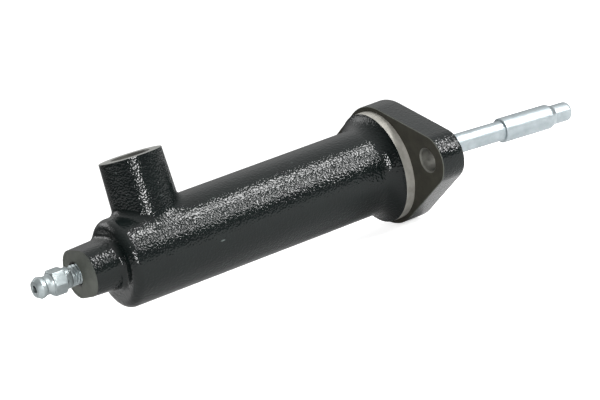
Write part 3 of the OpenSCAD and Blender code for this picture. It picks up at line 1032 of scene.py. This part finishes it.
@dataclass
class DustBoot:
    """The rubber boot: a root held in the flange, folds, and a cuff on the rod."""

    groove: float = 4.24
    mouth: float = 10.8
    joint: float = 21.2
    lip: float = 28.0
    tip: float = 31.5
    wall: float = 1.4
    stroke: float = 8.0
    pivot: float = BALL_STATION
    droop: float = ROD_DROOP
    rod_radius: float = ROD_RADIUS
    folds_end: float = 25.8
    fold_pitch: float = 5.0
    fold_height: float = 1.4
    mouth_radius: float = 11.6
    narrowing: float = 4.2
    skirt_radius: float = 12.3
    bead_radius: float = 13.5
    bead_width: float = 2.2
    inside_radius: float = 10.9
    cuff_radius: float = 6.2
    clearance: float = 0.02
    # soft black rubber: matt, so the folds show by their shading only
    finish: MouldedRubber = MouldedRubber("moulded_boot_rubber")

    def centre_height(self, x: float) -> float:
        """Gives how far the boot's middle has dropped at a station to meet the drooping rod."""
        share = min(max((x - self.mouth) / (self.lip - self.mouth), 0), 1)
        return -math.tan(math.radians(self.droop)) * (x - self.pivot) * share * share * (3 - 2 * share)

    def shell(self, name: str, outer: Profile, inner: Profile) -> bpy.types.Object:
        """Builds a closed rubber wall from its outer and inner profiles.

        Args:
            name: The piece's name.
            outer: Points of the outside as radius and station.
            inner: Points of the inside, from the same end.

        Returns:
            The dressed piece, before it is tied to a body.
        """
        profile = outer + inner[::-1]
        piece = loft(name, [turned_ring(x, r, "X", (0, self.centre_height(x)), 128) for r, x in profile], closed=True)
        piece.data.materials.append(self.finish.build())
        smooth(piece, 50)
        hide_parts("dust_boot")
        return piece

    def fold_profile(self, start: float, end: float, steps: int) -> tuple[Profile, Profile]:
        """Gives the outer and inner profile of the folded stretch between two stations.

        Args:
            start: Station of the first point.
            end: Station of the last point.
            steps: Segments between them.

        Returns:
            The outer profile and the inner one.
        """
        outer: Profile = []
        for i in range(steps + 1):
            x = start + (end - start) * i / steps
            share = (x - self.mouth) / (self.lip - self.mouth)
            wave = 0.5 - 0.5 * math.cos(FULL_TURN * (x - self.mouth) / self.fold_pitch)
            mean = self.mouth_radius - self.narrowing * share ** 1.4
            outer.append((mean + self.fold_height * wave * (1 - 0.35 * share), x))
        return outer, [(r - self.wall, x) for r, x in outer]

    def build(self) -> list[bpy.types.Object]:
        """Builds the root, the folds and the cuff.

        Returns:
            The three finished pieces.
        """
        skirt, bead, front = self.skirt_radius, self.bead_radius, self.groove + self.bead_width
        root = self.shell("boot_root", rounded([
            (self.inside_radius, self.groove, 0), (bead, self.groove, 0.3), (bead, front, 0.3), (skirt, front, 0.2),
            (skirt, self.mouth - 0.6, 0.4), (self.mouth_radius, self.mouth, 0),
        ], 4), [
            (self.inside_radius, self.groove), (self.inside_radius, self.mouth - 0.4),
            (self.mouth_radius - self.wall, self.mouth),
        ])
        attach(root, "housing")
        folds = self.shell("boot_folds", *self.fold_profile(self.mouth, self.joint, 48))
        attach(folds, "housing")
        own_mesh(folds)
        outer, inner = self.fold_profile(self.joint, self.folds_end, 24)
        grip = self.rod_radius + self.clearance
        outer += rounded([
            (outer[-1][0], self.folds_end, 0), (self.cuff_radius, self.lip - 0.4, 0.8),
            (self.cuff_radius, self.tip, 0.5), (grip, self.tip, 0),
        ], 4)[1:]
        inner += [(grip + 0.6, self.lip - 0.8), (grip, self.lip), (grip, self.tip - 0.2)]
        cuff = self.shell("boot_cuff", outer, inner)
        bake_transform(cuff)
        return [root, folds, cuff]


@dataclass
class InnerParts:
    """The hidden pieces in the bore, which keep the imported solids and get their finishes."""

    finishes: dict[str, Any] = field(default_factory=lambda: {
        # turned and anodised: pale grey with fine rings
        "piston": MachinedMetal("turned_anodised_aluminium", "#c3c5c6", "#adb0b1", 0.3, Marks.TURNED),
        # seal rubber: near black and satin
        "guide_seal": MouldedRubber("moulded_seal_rubber"),
        "pressure_cup": MouldedRubber("moulded_cup_rubber"),
        # pressed and stamped steel, zinc plated: bright, smooth and a little cool
        "spring_seat": MachinedMetal("pressed_zinc_steel", "#c9cccd", "#a9adaf", 0.3, Marks.FACED_ALONG_X),
        "stop_washer": MachinedMetal("stamped_zinc_steel", "#c9cccd", "#a9adaf", 0.3, Marks.FACED_ALONG_X),
        # drawn wire: mid grey with a satin sheen
        "rod_clip": MachinedMetal("drawn_clip_wire", "#8c8d8f", "#6b6c6e", 0.35, Marks.TURNED),
        # black oxide on spring steel: almost black, with a low sheen
        "snap_ring": MachinedMetal(
            "black_oxide_spring_steel", "#2b2b2c", "#1c1c1d", 0.4, Marks.FACED_ALONG_X, metallic=0.8,
        ),
    })

    def dress(self) -> None:
        """Gives each kept solid its finish."""
        for name, finish in self.finishes.items():
            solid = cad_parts[name]
            material = finish.build()
            for slot in solid.material_slots:
                slot.link = "OBJECT"
                slot.material = material
            log.info("%s: %s", name, material.name)


# Studio


@dataclass
class Studio:
    """Pale floor, soft lamps and the camera at the photograph's angle."""

    # the camera's place in millimetres and its three directions, fitted to edges in the photograph
    eye: tuple[float, float, float] = (-514.10, -857.06, 113.92)
    ahead: tuple[float, float, float] = (0.48169649, 0.86848813, -0.11703363)
    across: tuple[float, float, float] = (0.820404, -0.49385932, -0.28816705)
    upward: tuple[float, float, float] = (0.30806781, -0.0427942, 0.95040143)
    lens: float = 156.0
    floor_level: float = -24.2
    # half the floor's side in metres, and the width of the soft cockles in the paper
    floor_half: float = 12.0
    cockle_mm: float = 40.0
    subject: tuple[float, float, float] = (-30, 0, 5)

    def camera(self) -> None:
        """Places the camera."""
        data = bpy.data.cameras.new("camera")
        data.lens, data.sensor_width, data.sensor_fit = self.lens, 36.0, "HORIZONTAL"
        data.clip_start, data.clip_end = 0.05, 50.0
        camera = bpy.data.objects.new("camera", data)
        turn = Matrix((self.across, self.upward, [-v for v in self.ahead])).transposed().to_4x4()
        camera.matrix_world = Matrix.Translation(Vector(self.eye) * MM) @ turn
        bpy.context.scene.collection.objects.link(camera)
        bpy.context.scene.camera = camera

    def lamp(self, name: str, direction: tuple[float, float, float], distance: float, size: tuple[float, float],
             power: float) -> None:
        """Adds a soft rectangular lamp that looks at the object.

        Args:
            name: The lamp's name.
            direction: Where it stands, seen from the object.
            distance: Metres from the object.
            size: Width and height in metres.
            power: Watts.
        """
        data = bpy.data.lights.new(name, "AREA")
        data.shape, data.size, data.size_y, data.energy = "RECTANGLE", size[0], size[1], power
        lamp = bpy.data.objects.new(name, data)
        aim = Vector(direction).normalized()
        lamp.matrix_world = Matrix.Translation(Vector(self.subject) * MM + aim * distance) @ \
            aim.to_track_quat("Z", "Y").to_matrix().to_4x4()
        bpy.context.scene.collection.objects.link(lamp)

    def world(self) -> None:
        """Makes a sky that is white to the camera, and for the lighting dims to the horizon and to the -X side."""
        world = bpy.data.worlds.new("studio")
        bpy.context.scene.world = world
        world.use_nodes = True
        tree = world.node_tree
        tree.nodes.clear()
        place = add_node(tree, "TexCoord", {}, {})
        height = add_node(tree, "SeparateXYZ", {}, {0: place.outputs["Generated"]})
        level = add_node(
            tree, "MapRange", {"From Min": 0.0, "From Max": 0.85, "To Min": 0.2, "To Max": 1.0,
                               "interpolation_type": "SMOOTHSTEP"}, {"Value": height.outputs["Z"]},
        )
        side = add_node(
            tree, "MapRange", {"From Min": -0.9, "From Max": 0.1, "To Min": 0.45, "To Max": 1.0,
                               "interpolation_type": "SMOOTHSTEP"}, {"Value": height.outputs["X"]},
        )
        both = add_node(
            tree, "Math", {"operation": "MULTIPLY"}, {0: level.outputs["Result"], 1: side.outputs["Result"]},
        )
        light = add_node(tree, "Background", {"Color": (1, 1, 1, 1)}, {"Strength": both.outputs[0]})
        white = add_node(tree, "Background", {"Color": (1, 1, 1, 1), "Strength": 1.0}, {})
        path = add_node(tree, "LightPath", {}, {})
        chosen = add_node(
            tree, "MixShader", {}, {0: path.outputs["Is Camera Ray"], 1: light.outputs[0], 2: white.outputs[0]},
        )
        add_node(tree, "OutputWorld", {}, {0: chosen.outputs[0]})

    def floor(self) -> None:
        """Lays the pale floor, which shows white to the camera except for the object's shadow, and whose colour greys
        along Y away from the object as a painted fall-off of the light.
        """
        material, tree, shader, place = new_material("white_studio_paper_with_painted_falloff")
        cockles = add_node(tree, "TexNoise", {"Scale": 1 / (self.cockle_mm * MM), "Detail": 2.0}, {"Vector": place})
        blend = add_node(
            tree, "Mix", {"data_type": "RGBA", 6: linear("#f7f7f7"), 7: linear("#fafafa")},
            {0: cockles.outputs["Fac"]},
        )
        # painted fall-off of the light: the colour greys to #6a6a6a along Y away from the object, which glossy parts
        # reflect; the glow to the camera rises there so the floor still shows white
        across = add_node(tree, "SeparateXYZ", {}, {0: place})
        reach = add_node(tree, "Math", {"operation": "ABSOLUTE"}, {0: across.outputs["Y"]})
        away = add_node(
            tree, "MapRange", {"From Min": 0.06, "From Max": 0.45, "interpolation_type": "SMOOTHSTEP"},
            {"Value": reach.outputs[0]},
        )
        fade = add_node(
            tree, "Mix", {"data_type": "RGBA", 7: linear("#6a6a6a")}, {0: away.outputs["Result"], 6: blend.outputs[2]}
        )
        shown = add_node(tree, "MapRange", {"To Min": 0.7, "To Max": 1.0}, {"Value": away.outputs["Result"]})
        path = add_node(tree, "LightPath", {}, {})
        glow = add_node(
            tree, "Math", {"operation": "MULTIPLY"}, {0: path.outputs["Is Camera Ray"], 1: shown.outputs["Result"]}
        )
        tree.links.new(fade.outputs[2], shader.inputs["Base Color"])
        tree.links.new(glow.outputs[0], shader.inputs["Emission Strength"])
        shader.inputs["Emission Color"].default_value = (1, 1, 1, 1)
        shader.inputs["Roughness"].default_value = 0.9
        mesh = bpy.data.meshes.new("floor")
        half, height = self.floor_half, self.floor_level * MM
        corners = [(-half, -half, height), (half, -half, height), (half, half, height), (-half, half, height)]
        mesh.from_pydata(corners, [], [(0, 1, 2, 3)])
        floor = bpy.data.objects.new("floor", mesh)
        floor.data.materials.append(material)
        bpy.context.scene.collection.objects.link(floor)

    def build(self) -> None:
        """Builds the whole studio."""
        bpy.context.scene.view_settings.view_transform = "Standard"
        self.camera()
        self.world()
        self.floor()
        self.lamp("key_softbox", (0.42, -0.45, 0.785), 1.3, (0.3, 0.28), 7)
        self.lamp("boss_strip", (0.38, -0.8, 0.46), 1.5, (0.1, 0.4), 3)
        self.lamp("side_strip", (0.66, -0.66, 0.4), 1.5, (0.18, 0.6), 11)
        self.lamp("left_strip", (-0.37, -0.92, 0.13), 1.6, (0.3, 0.42), 15)
        self.lamp("back_softbox", (-0.4, 0.76, 0.5), 1.8, (1.0, 0.7), 5)


def main() -> None:
    """Builds the object and its studio in order."""
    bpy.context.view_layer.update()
    pieces: list[bpy.types.Object] = [
        Casting().build(), BleedScrew().build(), PushRod().build(), ReturnSpring().build(), *DustBoot().build(),
    ]
    for piece in pieces:
        log.info("%s: %d faces", piece.name, len(piece.data.polygons))
    InnerParts().dress()
    Studio().build()
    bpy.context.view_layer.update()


if __name__ == "__main__":
    main()
